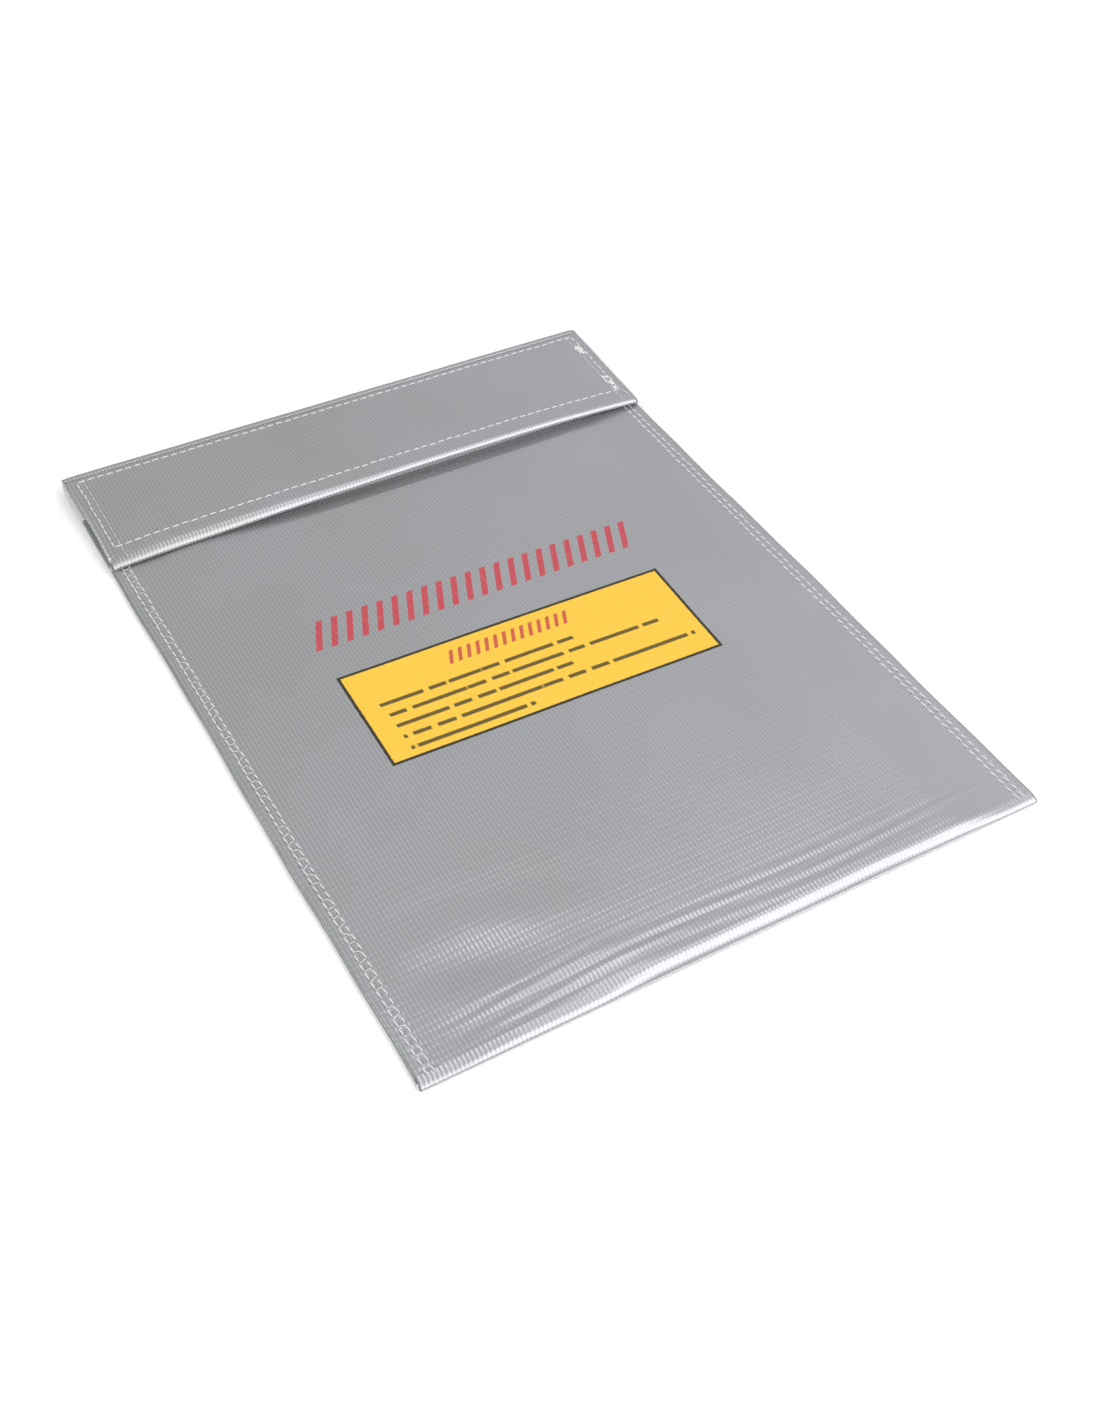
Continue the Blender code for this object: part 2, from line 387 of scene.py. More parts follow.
def underFlap(x, y):
    # the depth of the hollow under the flap's edge
    shares = [
        part["share"] * eased((y - flapEdge + part["start"]) / part["length"])
        for part in (hollow["broad"], hollow["narrow"])
    ]
    onRight = eased((x + hollow["left"]["start"]) / hollow["left"]["length"])
    return hollow["depth"] * (shares[0] + shares[1] * onRight)


def frontTop(x, y):
    # Outer face of the pocket's front: level on the pressed seam margins, raised between them,
    # and lower inside the slanted creases of the bottom corners and under the flap's edge.
    fromSide = side - np.abs(x) - pouch["margin"]
    toBottom = 1 - np.clip((y - bottomEdge) / pouch["bottomRise"], 0, 1)
    lift = pouch["pocketHeight"] + pouch["bottomExtra"] * toBottom**2
    lift = lift * (1 - cornerFold(x, y, -1, corners["left"]))
    lift = lift * (1 - cornerFold(x, y, 1, corners["right"]))
    lift = lift - underFlap(x, y)
    start, length = pouch["tapeRise"]
    lift = lift + (pouch["tapeHeight"] - lift) * eased((y - flapEdge - start) / length)
    lift = lift + slowWaves(x, y) + sum(ripple(x, y, name) for name in ("low", "lowFine", "high"))
    dents = ripple(x, y, "dents") * eased(fromSide / rippleKinds["dents"]["sideFade"])
    return seamHeight + eased(fromSide / pouch["sideRise"]) * lift + dents


# how the side edges wander, as (height, length) of two waves, and how far in that is felt
edgeWander = {
    "long": (0.22 * mm, 23 * mm),
    "short": (0.12 * mm, 7.3 * mm),
    "reach": (12 * mm, 10 * mm),
}


def seamWave(y, which):
    # how far a side edge wanders in or out along the bag; each edge has its own waves
    phase = 0.7 + 1.9 * which
    high, length = edgeWander["long"]
    wave = high * np.sin(y / length + phase)
    high, length = edgeWander["short"]
    return wave + high * np.sin(y / length + 2 * phase)


def nearSide(x):
    # 1 at the side edges, 0 further in
    inwards, length = edgeWander["reach"]
    return eased((np.abs(x) - side + inwards) / length)


puckers = {"insets": (3.7 * mm, 6.1 * mm), "width": 1.2 * mm, "depth": 0.17 * mm}


def pucker(x, y):
    # each stitch draws the cloth down at its hole: a wave along the seam, only on the seam
    total = 0
    for inset in puckers["insets"]:
        on = np.exp(-(((side - np.abs(x) - inset) / puckers["width"]) ** 2))
        total = total - on * (0.5 + 0.5 * np.cos(2 * math.pi * (y - mouth) / stitchPitch))
    return puckers["depth"] * total


# the rounded bottom fold, by its angle: 0 on top, pi at the back; the powers shape its upper and
# its lower half, and grooveAt and lipAt are angles
bottomNose = {
    "reach": 4.2 * mm,
    "low": 0.24,
    "powers": (1.45, 0.5),
    "groove": 0.18,
    "grooveAt": 1.68,
    "grooveWidth": 0.2,
    "lip": 0.10,
    "lipAt": 1.75,
    "lipWidth": 0.3,
    "steps": 28,
    "leastReach": 0.1 * mm,
    "leastHalf": 0.05 * mm,
}


def frontStations(foldTop):
    # places down the front, a third of a stitch apart, and half that where the ripples are
    count = round((mouth - foldTop) / (stitchPitch / pouch["rowsPerStitch"]))
    y = np.linspace(mouth, foldTop, count + 1)
    between = (y[1:] + y[:-1]) / 2
    band = pouch["fineBand"]
    fine = (between < bottomEdge + band) | (np.abs(between - flapEdge + band / 2) < band / 2)
    return np.sort(np.concatenate([y, between[fine]]))[::-1, None]


def nosePoints(x, depth, foldTop):
    # The bottom fold: a slope that bows out a little, then a groove and a squarer lower lip.
    # y = foldTop - reach * sin^p and z = middle + half * cos^p, each half with its own power p.
    nose = bottomNose
    turn = np.linspace(0, math.pi, nose["steps"] + 1)[1:-1, None]
    upper = turn <= math.pi / 2
    power = np.where(upper, *nose["powers"])
    shape = 1 - nose["groove"] * bump01((turn - nose["grooveAt"]) / nose["grooveWidth"])
    shape = shape + nose["lip"] * eased((turn - nose["lipAt"]) / nose["lipWidth"])
    top = frontTop(x, foldTop) - depth
    low = pouch["restHeight"] + depth
    middle = low + np.maximum(top - low, nose["leastReach"]) * nose["low"]
    half = np.where(upper, np.maximum(top - middle, nose["leastHalf"]), middle - low)
    reach = np.maximum(nose["reach"] - tuck * depth, nose["leastReach"])
    cosine = np.cos(turn)
    y = foldTop - np.sin(turn) ** power * shape * reach
    z = middle + np.sign(cosine) * np.abs(cosine) ** power * half
    return sheetPoints(x, y, z)


def sheetPoints(x, y, z):
    # a grid of points, where x may be one row and y one column
    return np.stack([np.broadcast_to(x, z.shape), np.broadcast_to(y, z.shape), z], -1)


def pouchPoints():
    # The pocket's cloth as one strip with its edges turned in: down the front, round the bottom
    # fold, and up the back to the mouth.
    radius = pouch["turnRadius"]
    across = acrossStations(side, radius, pouch["turnedIn"], pouch["sideStep"])
    x, depth = turnedEdge(across, side, radius)
    foldTop = bottomEdge + bottomNose["reach"]
    y = frontStations(foldTop)
    front = sheetPoints(x, y, frontTop(x, y) + pucker(x, y) - depth)
    yBack = np.linspace(foldTop, mouth, pouch["backRows"])[:, None]
    back = sheetPoints(x, yBack, pouch["restHeight"] + depth + 0 * yBack)
    points = np.concatenate([front, nosePoints(x, depth, foldTop), back])
    y = points[..., 1]
    points[..., 0] += np.where(x < 0, seamWave(y, 0), seamWave(y, 1)) * nearSide(x)
    return points, straightened(flatPlaces(across, points))


flap = {
    "turnRadius": 0.46 * mm,
    "turnedIn": 5.2 * mm,
    "sideStep": 0.8 * mm,
    "rows": 40,
    "faceGap": 0.12 * mm,
    "creaseDrop": 0.15 * mm,
    "cornerDrop": 2.4 * mm,
    "cornerPower": 1.3,
    "sidePower": 4,
    "edgeDrop": 0.35 * mm,
    "longWave": (0.10 * mm, 26 * mm, 0.8),
    "shortWave": (0.05 * mm, 9 * mm),
    "sideRoll": (0.35 * mm, 3.2 * mm),
    "sideWave": 0.8,
    "wavePlace": 31 * mm,
}


def flapFace(x, y):
    # Outer face of the flap: flat along the crease, its free corners bent down to the pouch.
    down = np.clip((foldStart - y) / (foldStart - flapEdge), 0, 1)
    drop = flap["creaseDrop"] + flap["cornerDrop"] * down ** flap["cornerPower"]
    drop = drop * (np.abs(x) / side) ** flap["sidePower"] + flap["edgeDrop"] * down**2
    high, length, start = flap["longWave"]
    wave = high * np.sin(x / length + start) * down
    high, length = flap["shortWave"]
    wave = wave + high * np.sin(x / length)
    high, width = flap["sideRoll"]
    roll = high * np.clip((np.abs(x) - side + width) / width, 0, 1) ** 2
    return flapHeight - flap["faceGap"] - drop - roll + wave


# The flap's free edge from above to below: a rounded nose, whose depth is given as a share, a
# groove between the plies, a second, smaller nose, and the hem rising to lie under the flap.
# Its points are given outwards and down in mm; the places below count them from 0.
flapNose = {
    "out": (-4.6, -3.4, -2.2, -1.1, 0, -0.34, -0.05, 0.02, -0.35, -1.5, -3.4, -7.2),
    "down": (0, 0.07, 0.25, 0.55, 1, 1.18, 1.34, 1.56, 1.74, 1.66, 1.30, 1.22),
    "stepsEach": 4,
    "foremost": 4,
    "lastLow": 8,
    "turned": (2.5, 5),
    "width": (0.42, 1.0),
    "height": (1.25 * mm, 2.5 * mm),
    "broadFrom": 20 * mm,
    "broadLength": 110 * mm,
    "hemHeight": 0.78 * mm,
    "hemRise": (1.2 * mm, 2.4 * mm),
    "overSides": 0.55 * mm,
    "sideBlend": 3 * mm,
}


def byLeft(x, name):
    # the rounded edge is pressed flatter at the right, and broad and high at the left
    low, high = flapNose[name]
    return low + (high - low) * eased((flapNose["broadFrom"] - x) / flapNose["broadLength"])


def flapPoints():
    # The flap as a strip from the crease to its free edge, round that, and back under as a hem.
    nose = flapNose
    radius = flap["turnRadius"]
    across = acrossStations(side, radius, flap["turnedIn"], flap["sideStep"])
    x, depth = turnedEdge(across, side, radius)
    knots = np.stack([nose["out"], nose["down"]], -1)
    steps = (len(knots) - 1) * nose["stepsEach"]
    place = np.arange(0, steps + 1) / nose["stepsEach"]
    profile = throughKnots(knots, place) * mm
    width = byLeft(x, "width")
    high = byLeft(x, "height")
    reach = -profile[0, 0] * width
    y = foldStart + (flapEdge + reach - foldStart) * np.linspace(0, 1, flap["rows"])[:, None]
    top = sheetPoints(x, y, flapFace(x, y) - depth)
    place = place[1:, None]
    out = profile[1:, :1]
    down = profile[1:, 1:]
    # only the first nose, down to its foremost point, widens with the place along the edge
    share = np.where(place <= nose["foremost"], width, 1.0)
    # the turned-in ply keeps inside the rounded edge, well back from it
    yEdge = flapEdge - np.minimum(out * share, -tuck * depth)
    fall = np.minimum(down, mm) * high / mm + np.maximum(down - mm, 0)
    # behind the edge the hem rises to one height, but lower where it is under the turned-in sides
    start, length = nose["hemRise"]
    level = eased((-out - start) / length) * (place > nose["lastLow"])
    onSides = eased((np.abs(x) - side + flap["turnedIn"]) / nose["sideBlend"] + 1)
    fall = fall + level * (mm + nose["overSides"] * onSides - high)
    start, length = nose["turned"]
    fall = fall + depth * (1 - 2 * eased((place - start) / length))
    deepest = np.maximum(depth, high + nose["hemHeight"] - depth)
    zEdge = flapFace(x, flapEdge + reach) - np.clip(fall, depth, deepest)
    points = np.concatenate([top, sheetPoints(x, yEdge, zEdge)])
    wave = seamWave(points[..., 1] + flap["wavePlace"], 2) * flap["sideWave"] * np.sign(x)
    points[..., 0] += wave * nearSide(x)
    return points, straightened(flatPlaces(across, points))


fold = {
    "sideSpan": 6 * mm,
    "sidePlaces": 7,
    "middleSpan": 8 * mm,
    "middlePlaces": 46,
    "lipRows": 15,
    "turnSteps": 20,
    "powers": (0.62, 0.8),
}


def foldPoints():
    # The back's flat lip above the mouth, then the crease: half of a squarish ellipse, with powers
    # of the sine and cosine, up to the flap.
    near = np.linspace(-side, -side + fold["sideSpan"], fold["sidePlaces"])
    x = np.concatenate([near, np.linspace(-side + fold["middleSpan"], 0, fold["middlePlaces"])])
    x = np.concatenate([x, -x[-2::-1]])
    flat = np.linspace(mouth, foldStart, fold["lipRows"] + 1)[:-1, None]
    turn = np.linspace(-math.pi / 2, math.pi / 2, fold["turnSteps"] + 1)[:, None]
    top = flapFace(x, foldStart)
    low = pouch["restHeight"]
    lip = sheetPoints(x, flat, np.full((len(flat), len(x)), low))
    cosinePower, sinePower = fold["powers"]
    y = foldStart + np.cos(turn) ** cosinePower * (crease - foldStart) + 0 * x
    sine = np.sign(turn) * np.abs(np.sin(turn)) ** sinePower
    z = (top + low) / 2 + sine * (top - low) / 2
    points = np.concatenate([lip, sheetPoints(x, y, z)])
    return points, flatPlaces(x, points)


weave = {
    "rib": 1.43,
    "course": 2.5,
    "fineCourse": 1.67,
    "twill": 1.75,
    "twillSlope": 1.23,
    "shares": (0.6, 0.25, 0.15),
    "unevenNoise": 55,
    "uneven": (0.5, 0.4),
    "speckNoise": 900,
    "silver": (0.44, 0.444, 0.448, 1),
    "furrow": (0.345, 0.350, 0.352, 1),
    # painted shade at the upper left and a painted sheen at the lower right, mixed by the slant
    "upperLeftShade": (0.90, 0.915, 0.895, 1),
    "lowerRightSheen": (1.31, 1.295, 1.40, 1),
    "slant": (1.7, -0.5),
    "contrastFade": 2.2,
    "relief": 0.08 * mm,
    "roughness": 0.28,
    "metal": 0.58,
}


def wovenRelief(paint, across, along):
    # Ribs along the cloth, pinched by a furrow once a course: the height, and the share of silver,
    # low in the furrows as painted shade and mottled at random.
    slow = paint.noise(paint.uv(), weave["unevenNoise"], 2) - 0.5
    sideways, lengthways = weave["uneven"]
    rib = (across + slow * sideways).wave(weave["rib"])
    place = along + slow * lengthways
    coarse, fine, twill = weave["shares"]
    course = place.wave(weave["course"]) * coarse + place.wave(weave["fineCourse"]) * fine
    slanted = along - across * weave["twillSlope"]
    course = course + slanted.wave(weave["twill"]) * twill
    speck = paint.noise(paint.uv(), weave["speckNoise"], 2)
    silver = rib * (course * 0.5 + 0.4) + speck * 0.4 - 0.2
    return (rib ** 0.8) * ((course ** 0.7) * 0.85 + 0.15), silver


# painted shade: a dark band along the turned side edges, and dark slots in the needle holes
paintedShade = {
    "edge": (0.15, 0.165, 0.15, 1),
    "edgeBand": (-0.5, 1.4),
    "edgeSoft": 0.6,
    "edgeShare": 0.8,
    "hole": (0.10, 0.10, 0.105, 1),
    "holeShare": 0.6,
    "holeSlant": 0.35,
    "holeHalf": 0.42,
    "holeFrom": 0.90,
}


def needleHoleShade(across, along, rows, start, stop):
    # painted shade in the needle holes: dark slots between the stitches of rows that run along the
    # cloth, at places either side
    pitch = (stop - start) / round((stop - start) * mm / stitchPitch)
    span = along.between(start - 0.3, stop + 0.3, 0.1)
    out = across.paint.math("ABSOLUTE", across)
    half = paintedShade["holeHalf"]
    lines = 0
    for row in rows:
        slot = (along - start + (out - row) * paintedShade["holeSlant"]).wave(pitch)
        slot = slot.between(paintedShade["holeFrom"], 2, 0.08)
        lines = lines + slot * out.between(row - half, row + half, 0.3)
    return lines * span


def silverCloth(name, rows=None):
    # Coated glass-fibre cloth: metallic grey over a coarse weave, with painted shade in the
    # furrows, a painted sheen towards the lower right and painted shade along the side edges.
    # Stitch rows are given for the pocket's cloth, which has painted shade in its needle holes,
    # and printed marks.
    paint = Paint(name)
    across, along = paint.along()
    relief, ribs = wovenRelief(paint, across, along)
    split = paint.add("ShaderNodeSeparateXYZ")
    paint.put(split.inputs[0], paint.object())
    # from about -0.3 at the upper left to 0.3 at the lower right
    right, up = weave["slant"]
    slant = paint.wire(split, 0) * right + paint.wire(split, 1) * up
    blotch = paint.noise(paint.uv(), 14, 3)
    grain = paint.noise(paint.stretch(paint.uv(), (1, 6, 1)), 900, 2)
    # the weave's pattern with painted shade in its furrows, strongest at the upper left and fading
    # towards the lower right
    ribShare = (ribs - 0.4) * (1 - slant * weave["contrastFade"]) + 0.4
    colour = paint.mix(ribShare, weave["furrow"], weave["silver"])
    # random blotches, with painted light: a sheen lighter and bluer towards the lower right, and
    # shade towards the upper left
    blotchAndSheen = paint.mix(blotch * 0.8 + 0.1 + slant, weave["upperLeftShade"], weave["lowerRightSheen"])
    colour = paint.mix(1.0, colour, blotchAndSheen, "MULTIPLY")
    metal = blotch * 0.1 + (weave["metal"] - 0.05)
    roughness = grain * 0.14 + (weave["roughness"] - 0.07)
    # painted shade: a dark band along the turned side edges
    out = paint.math("ABSOLUTE", across)
    low, high = (side / mm + place for place in paintedShade["edgeBand"])
    edgeShade = out.between(low, high, paintedShade["edgeSoft"]) * paintedShade["edgeShare"]
    colour = paint.mix(edgeShade, colour, paintedShade["edge"])
    if rows:
        # painted shade in the needle holes
        holeShade = needleHoleShade(across, along, *rows)
        colour = paint.mix(holeShade * paintedShade["holeShare"], colour, paintedShade["hole"])
        colour, ink = printOn(paint, colour, relief, across, along)
        metal = metal * (1 - ink)
        roughness = roughness + ink * 0.12
    height = relief * (1 - slant) + grain * 0.10
    return paint.finish(colour, roughness, height, weave["relief"], metal)


label = {
    "left": -67.2,
    "bottom": -41.7,
    "width": 129.2,
    "height": 46.6,
    "tilt": math.radians(-1.2),
    "border": 1.15,
    "soft": 0.22,
    "yellow": (0.80, 0.50, 0.045, 1),
    "black": (0.028, 0.022, 0.010, 1),
    "red": (0.47, 0.028, 0.045, 1),
    "dashRows": ((27.6, 8, 85), (21.9, 9, 117), (16.2, 9, 77), (10.6, 9, 124), (4.9, 9, 56)),
    "dashHeight": 0.85,
    "slant": 0.4,
    "heading": {"start": 39, "foot": 35.0, "height": 6.4, "pitch": 3.5, "bars": 14},
    "banner": {"start": 0.5, "foot": 61.8, "height": 14.4, "pitch": 5.95, "bars": 22},
}


def hatch(x, y, band):
    # a band of slanted bars, each filling under half of its pitch
    along = x - (y - band["foot"]) * label["slant"] - band["start"]
    ends = along.between(-band["pitch"] / 2, band["pitch"] * (band["bars"] - 0.5), 0.1)
    tall = y.between(band["foot"], band["foot"] + band["height"], label["soft"])
    return along.wave(band["pitch"]).between(0.62, 2, 0.12) * ends * tall


def printOn(paint, cloth, relief, across, along):
    # Plain marks, no lettering: a red hatched banner, and below it a yellow panel with a black
    # border, a small hatched heading and five rows of dark dashes.
    up = mouth / mm - along
    soft = label["soft"]
    c = math.cos(label["tilt"])
    s = math.sin(label["tilt"])
    left = across - label["left"]
    over = up - label["bottom"]
    ragged = (paint.noise(paint.uv(), 700, 2) - 0.5) * 0.5
    x = left * c + over * s + ragged
    y = over * c - left * s + ragged * 0.6
    w = label["width"]
    h = label["height"]
    edge = label["border"]

    def inside(x0, x1, y0, y1):
        return x.between(x0, x1, soft) * y.between(y0, y1, soft)

    panel = inside(0, w, 0, h)
    yellow = inside(edge, w - edge, edge, h - edge)
    heading = hatch(x, y, label["heading"])
    rows = 0
    for row, (height, start, stop) in enumerate(label["dashRows"]):
        uneven = (x + 3.1 * row).wave(7.3 + 0.4 * row) + (x * 0.61 + 5.0 * row).wave(6.1)
        dashes = uneven.between(0.34, 3, 0.12)
        half = label["dashHeight"]
        rows = rows + inside(start, stop, height - half, height + half) * dashes
    banner = hatch(x, y, label["banner"])
    worn = (paint.noise(paint.uv(), 420, 2) * 0.5 + relief * 0.5).between(0.16, 3, 0.16)
    colour = paint.mix(panel, cloth, label["black"])
    colour = paint.mix(yellow, colour, label["yellow"])
    colour = paint.mix(rows * 0.88, colour, label["black"])
    colour = paint.mix(heading * 0.85, colour, label["red"])
    colour = paint.mix(banner * worn * 0.92, colour, label["red"])
    return colour, paint.math("MINIMUM", panel + banner, 1.0)


fibres = {
    "bare": ((0.66, 0.68, 0.66, 1), (0.87, 0.89, 0.87, 1)),
    "bareSpeck": (0.36, 0.38, 0.37, 1),
    "cut": ((0.13, 0.12, 0.125, 1), (0.34, 0.34, 0.33, 1)),
    "thread": ((0.62, 0.62, 0.63, 1), (0.93, 0.93, 0.93, 1)),
    "loopGround": ((0.40, 0.40, 0.41, 1), (0.62, 0.62, 0.61, 1)),
    "hookGround": ((0.38, 0.38, 0.38, 1), (0.58, 0.58, 0.57, 1)),
    "loopFibre": ((0.50, 0.50, 0.50, 1), (0.74, 0.74, 0.73, 1)),
    "hookFibre": ((0.44, 0.44, 0.44, 1), (0.68, 0.68, 0.67, 1)),
    "strand": 0.62,
    "strandSlope": 1.1,
    "groundPeriods": (0.62, 0.7),
}


def bareCloth():
    # The inside face: white uncoated glass fibre, speckled with grey.
    paint = Paint("bareCloth")
    across, along = paint.along()
    relief, ribs = wovenRelief(paint, across, along)
    speck = paint.noise(paint.uv(), 1100, 2).between(0.56, 3, 0.12)
    colour = paint.mix(ribs * 0.5 + 0.5, *fibres["bare"])
    colour = paint.mix(speck * 0.5, colour, fibres["bareSpeck"])
    return paint.finish(colour, speck * 0.1 + 0.8, relief, weave["relief"])


def cutFibres():
    # A cut edge: ends of glass fibre, grey and uneven.
    paint = Paint("cutEdge")
    fine = paint.noise(paint.object(), 1400, 2)
    return paint.finish(paint.mix(fine, *fibres["cut"]), fine * 0.1 + 0.85)


def sewingThread():
    # Two-ply thread: slanted strands along each stitch.
    paint = Paint("sewingThread")
    around, along = paint.along()
    strand = (around + along * fibres["strandSlope"]).wave(fibres["strand"])
    fuzz = paint.noise(paint.uv(), 3000, 2)
    colour = paint.mix(strand * 0.6 + fuzz * 0.4, *fibres["thread"])
    return paint.finish(colour, fuzz * 0.2 + 0.5, strand, 0.05 * mm)


def tapeGround(name):
    # The woven ground of a hook or loop tape: a tight plain weave.
    paint = Paint(name)
    across, along = paint.along()
    acrossPeriod, alongPeriod = fibres["groundPeriods"]
    ground = across.wave(acrossPeriod) * along.wave(alongPeriod)
    fuzz = paint.noise(paint.uv(), 1500, 3)
    colour = paint.mix(ground * 0.5 + fuzz * 0.5, *fibres[name])
    return paint.finish(colour, fuzz * 0.15 + 0.75, ground + fuzz, 0.08 * mm)


def tapeFibre(name):
    # Nylon monofilament of the hooks or loops, slightly glossy.
    paint = Paint(name)
    fuzz = paint.noise(paint.object(), 900, 2)
    return paint.finish(paint.mix(fuzz, *fibres[name]), fuzz * 0.2 + 0.35)


def rowEnds(node):
    # the middle line of a CAD row, as its two (x, y) ends
    low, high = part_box(node)
    middle = (low + high) / 2
    if high.x - low.x > high.y - low.y:
        return (low.x, middle.y), (high.x, middle.y)
    return (middle.x, high.y), (middle.x, low.y)


def seamRows(*nodes):
    # how far rows lie from the middle, and where they start and stop below the mouth, in mm
    tops = [rowEnds(node)[0] for node in nodes]
    foot = rowEnds(nodes[0])[1]
    return [x / mm for x, _ in tops], (mouth - tops[0][1]) / mm, (mouth - foot[1]) / mm


silver = silverCloth("silverCloth")
seams = seamRows("right_outer_seam_stitching", "right_inner_seam_stitching")
silverPrinted = silverCloth("printedCloth", seams)
cutEdge = cutFibres()
bare = bareCloth()
thread = sewingThread()
loopGround = tapeGround("loopGround")
hookGround = tapeGround("hookGround")
loopFibre = tapeFibre("loopFibre")
hookFibre = tapeFibre("hookFibre")
print("materials done")


def flatSize(uv):
    # width and length of a strip of cloth before it was folded
    wide = float(uv[0, -1, 0] - uv[0, 0, 0])
    long = float((uv[-1, :, 1] - uv[0, :, 1]).mean())
    return round(wide, 4), round(long, 4)


points, uv = pouchPoints()
pouchCloth = clothPiece("pouch_cloth", points, uv, silverPrinted, bare, cutEdge)
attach(pouchCloth, "pouch")
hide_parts("front_panel", "bottom_fold", "back_panel")
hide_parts("left_seam_allowance", "right_seam_allowance")
flatSize(uv)
stripLength = uv[-1, 0, 1]

points, uv = foldPoints()
foldFlat = flatSize(uv)
uv[..., 1] += stripLength
foldCloth = clothPiece("lip_and_crease_cloth", points, uv, silver, bare, cutEdge)
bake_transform(foldCloth)
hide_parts("flap_fold")
stripLength += foldFlat[1]

points, uv = flapPoints()
flapFlat = flatSize(uv)
uv[..., 1] += stripLength
flapCloth = clothPiece("flap_cloth", points, uv, silver, bare, cutEdge)
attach(flapCloth, "flap")
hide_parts("flap_cover", "flap_edge_hem", "flap_left_hem", "flap_right_hem")


hem = {
    "lift": 0.44 * mm,
    "radius": 0.62 * mm,
    "thickness": 0.36 * mm,
    "inside": 4.5 * mm,
    "outerRows": 6,
    "turnSteps": 8,
    "underRows": 4,
}
# places across the bag for its straight strips
stripColumns = 93


def mouthHemPoints():
    # A turned strip over the mouth: along its outer face, round the edge, and back inside.
    low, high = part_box("mouth_hem")
    radius = hem["radius"]
    turn = np.linspace(0, math.pi, hem["turnSteps"] + 1)
    outer = np.linspace(low.y, mouth - radius, hem["outerRows"] + 1)[:-1]
    under = np.linspace(mouth - radius, mouth - hem["inside"], hem["underRows"] + 1)[1:]
    y = np.concatenate([outer, mouth - radius + radius * np.sin(turn), under])[:, None]
    falls = [np.zeros(len(outer)), radius * (1 - np.cos(turn)), np.full(len(under), 2 * radius)]
    x = np.linspace(low.x, high.x, stripColumns)
    z = frontTop(x, y) + hem["lift"] - np.concatenate(falls)[:, None]
    points = sheetPoints(x, y, z)
    return points, flatPlaces(x, points)


points, uv = mouthHemPoints()
mouthHem = clothPiece(
    "mouth_hem_cloth", points, uv, silver, bare, cutEdge, hem["thickness"], flip=False
)
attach(mouthHem, "pouch")
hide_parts("mouth_hem")
flatSize(uv)
print("cloth done")


def bodyOf(node):
    bodies = frame["record"]["behaviour"]["bodies"]
    return next(body for body, nodes in bodies.items() if node in nodes)


def tubes(paths, radii, sides, side0):
    # Tubes along many paths at once, with a ring round each point of a path, and caps. There is
    # one radius a ring; side0 is a direction across every path.
    count, rings = paths.shape[:2]
    tangent = np.gradient(paths, axis=1)
    tangent /= np.linalg.norm(tangent, axis=2, keepdims=True)
    normal = np.cross(tangent, np.broadcast_to(side0, tangent.shape))
    normal /= np.linalg.norm(normal, axis=2, keepdims=True)
    other = np.cross(tangent, normal)
    angle = np.linspace(0, 2 * math.pi, sides, endpoint=False)
    turned = angle[:, None]
    ring = np.cos(turned) * normal[:, :, None] + np.sin(turned) * other[:, :, None]
    points = paths[:, :, None] + np.asarray(radii)[:, None, None] * ring
    index = np.arange(rings * sides).reshape(rings, sides)
    around = np.roll(index, -1, axis=1)
    wall = np.stack([index[:-1], around[:-1], around[1:], index[1:]], -1).reshape(-1, 4)
    ends = (index[0, ::-1], index[-1])
    caps = [[f[0], f[i], f[i + 1], f[i + 2]] for f in ends for i in range(1, sides - 1, 2)]
    one = np.vstack([wall, caps])
    faces = (one + (np.arange(count) * rings * sides)[:, None, None]).reshape(-1, 4)
    length = np.linalg.norm(np.diff(paths, axis=1), axis=2)
    run = np.concatenate([np.zeros((count, 1)), np.cumsum(length, axis=1)], axis=1)
    run = run + np.arange(count)[:, None] * 3.1 * mm
    shape = (count, rings, sides)
    u = np.broadcast_to(angle * radii[rings // 2], shape)
    uv = np.stack([u, np.broadcast_to(run[:, :, None], shape)], -1)
    return points.reshape(-1, 3), faces, uv.reshape(-1, 2)


def joined(parts):
    # several (points, faces, uv) as one
    starts = np.cumsum([0] + [len(points) for points, _, _ in parts])
    points = np.concatenate([part[0] for part in parts])
    faces = np.concatenate([part[1] + start for part, start in zip(parts, starts)])
    return points, faces, np.concatenate([part[2] for part in parts])


sewing = {
    "radius": 0.235 * mm,
    "fineRadius": 0.12 * mm,
    "dash": 2.8 * mm,
    "sink": 0.42 * mm,
    "ride": 0.16 * mm,
    "underRide": 0.02 * mm,
    "wander": 0.09 * mm,
    "slant": 0.3 * mm,
    "places": (-1, -0.86, -0.5, 0, 0.5, 0.86, 1),
    "swell": (0.45, 0.85, 1, 1.05, 1, 0.85, 0.45),
    "fineSwell": (0.5, 0.9, 1, 1, 1, 0.9, 0.5),
    "sides": 6,
    "rungShare": 0.8,
    "rungLean": 0.4 * mm,
}


def stitchPaths(starts, stops, faceAt, outward, wander):
    # One bowed path a stitch, its ends diving into the holes: height = face + outward * (ride -
    # sink * t^8), with t from -1 to 1 along the stitch.
    t = np.array(sewing["places"])[:, None]
    place = (starts + stops)[:, None] / 2 + (stops - starts)[:, None] / 2 * t
    place[..., :2] += random.normal(0, 1, (len(starts), 1, 2)) * wander
    ride = sewing["ride"] if outward > 0 else sewing["underRide"]
    height = faceAt(place[..., 0], place[..., 1])
    place[..., 2] = height + outward * (ride - sewing["sink"] * t[:, 0] ** 8)
    return place


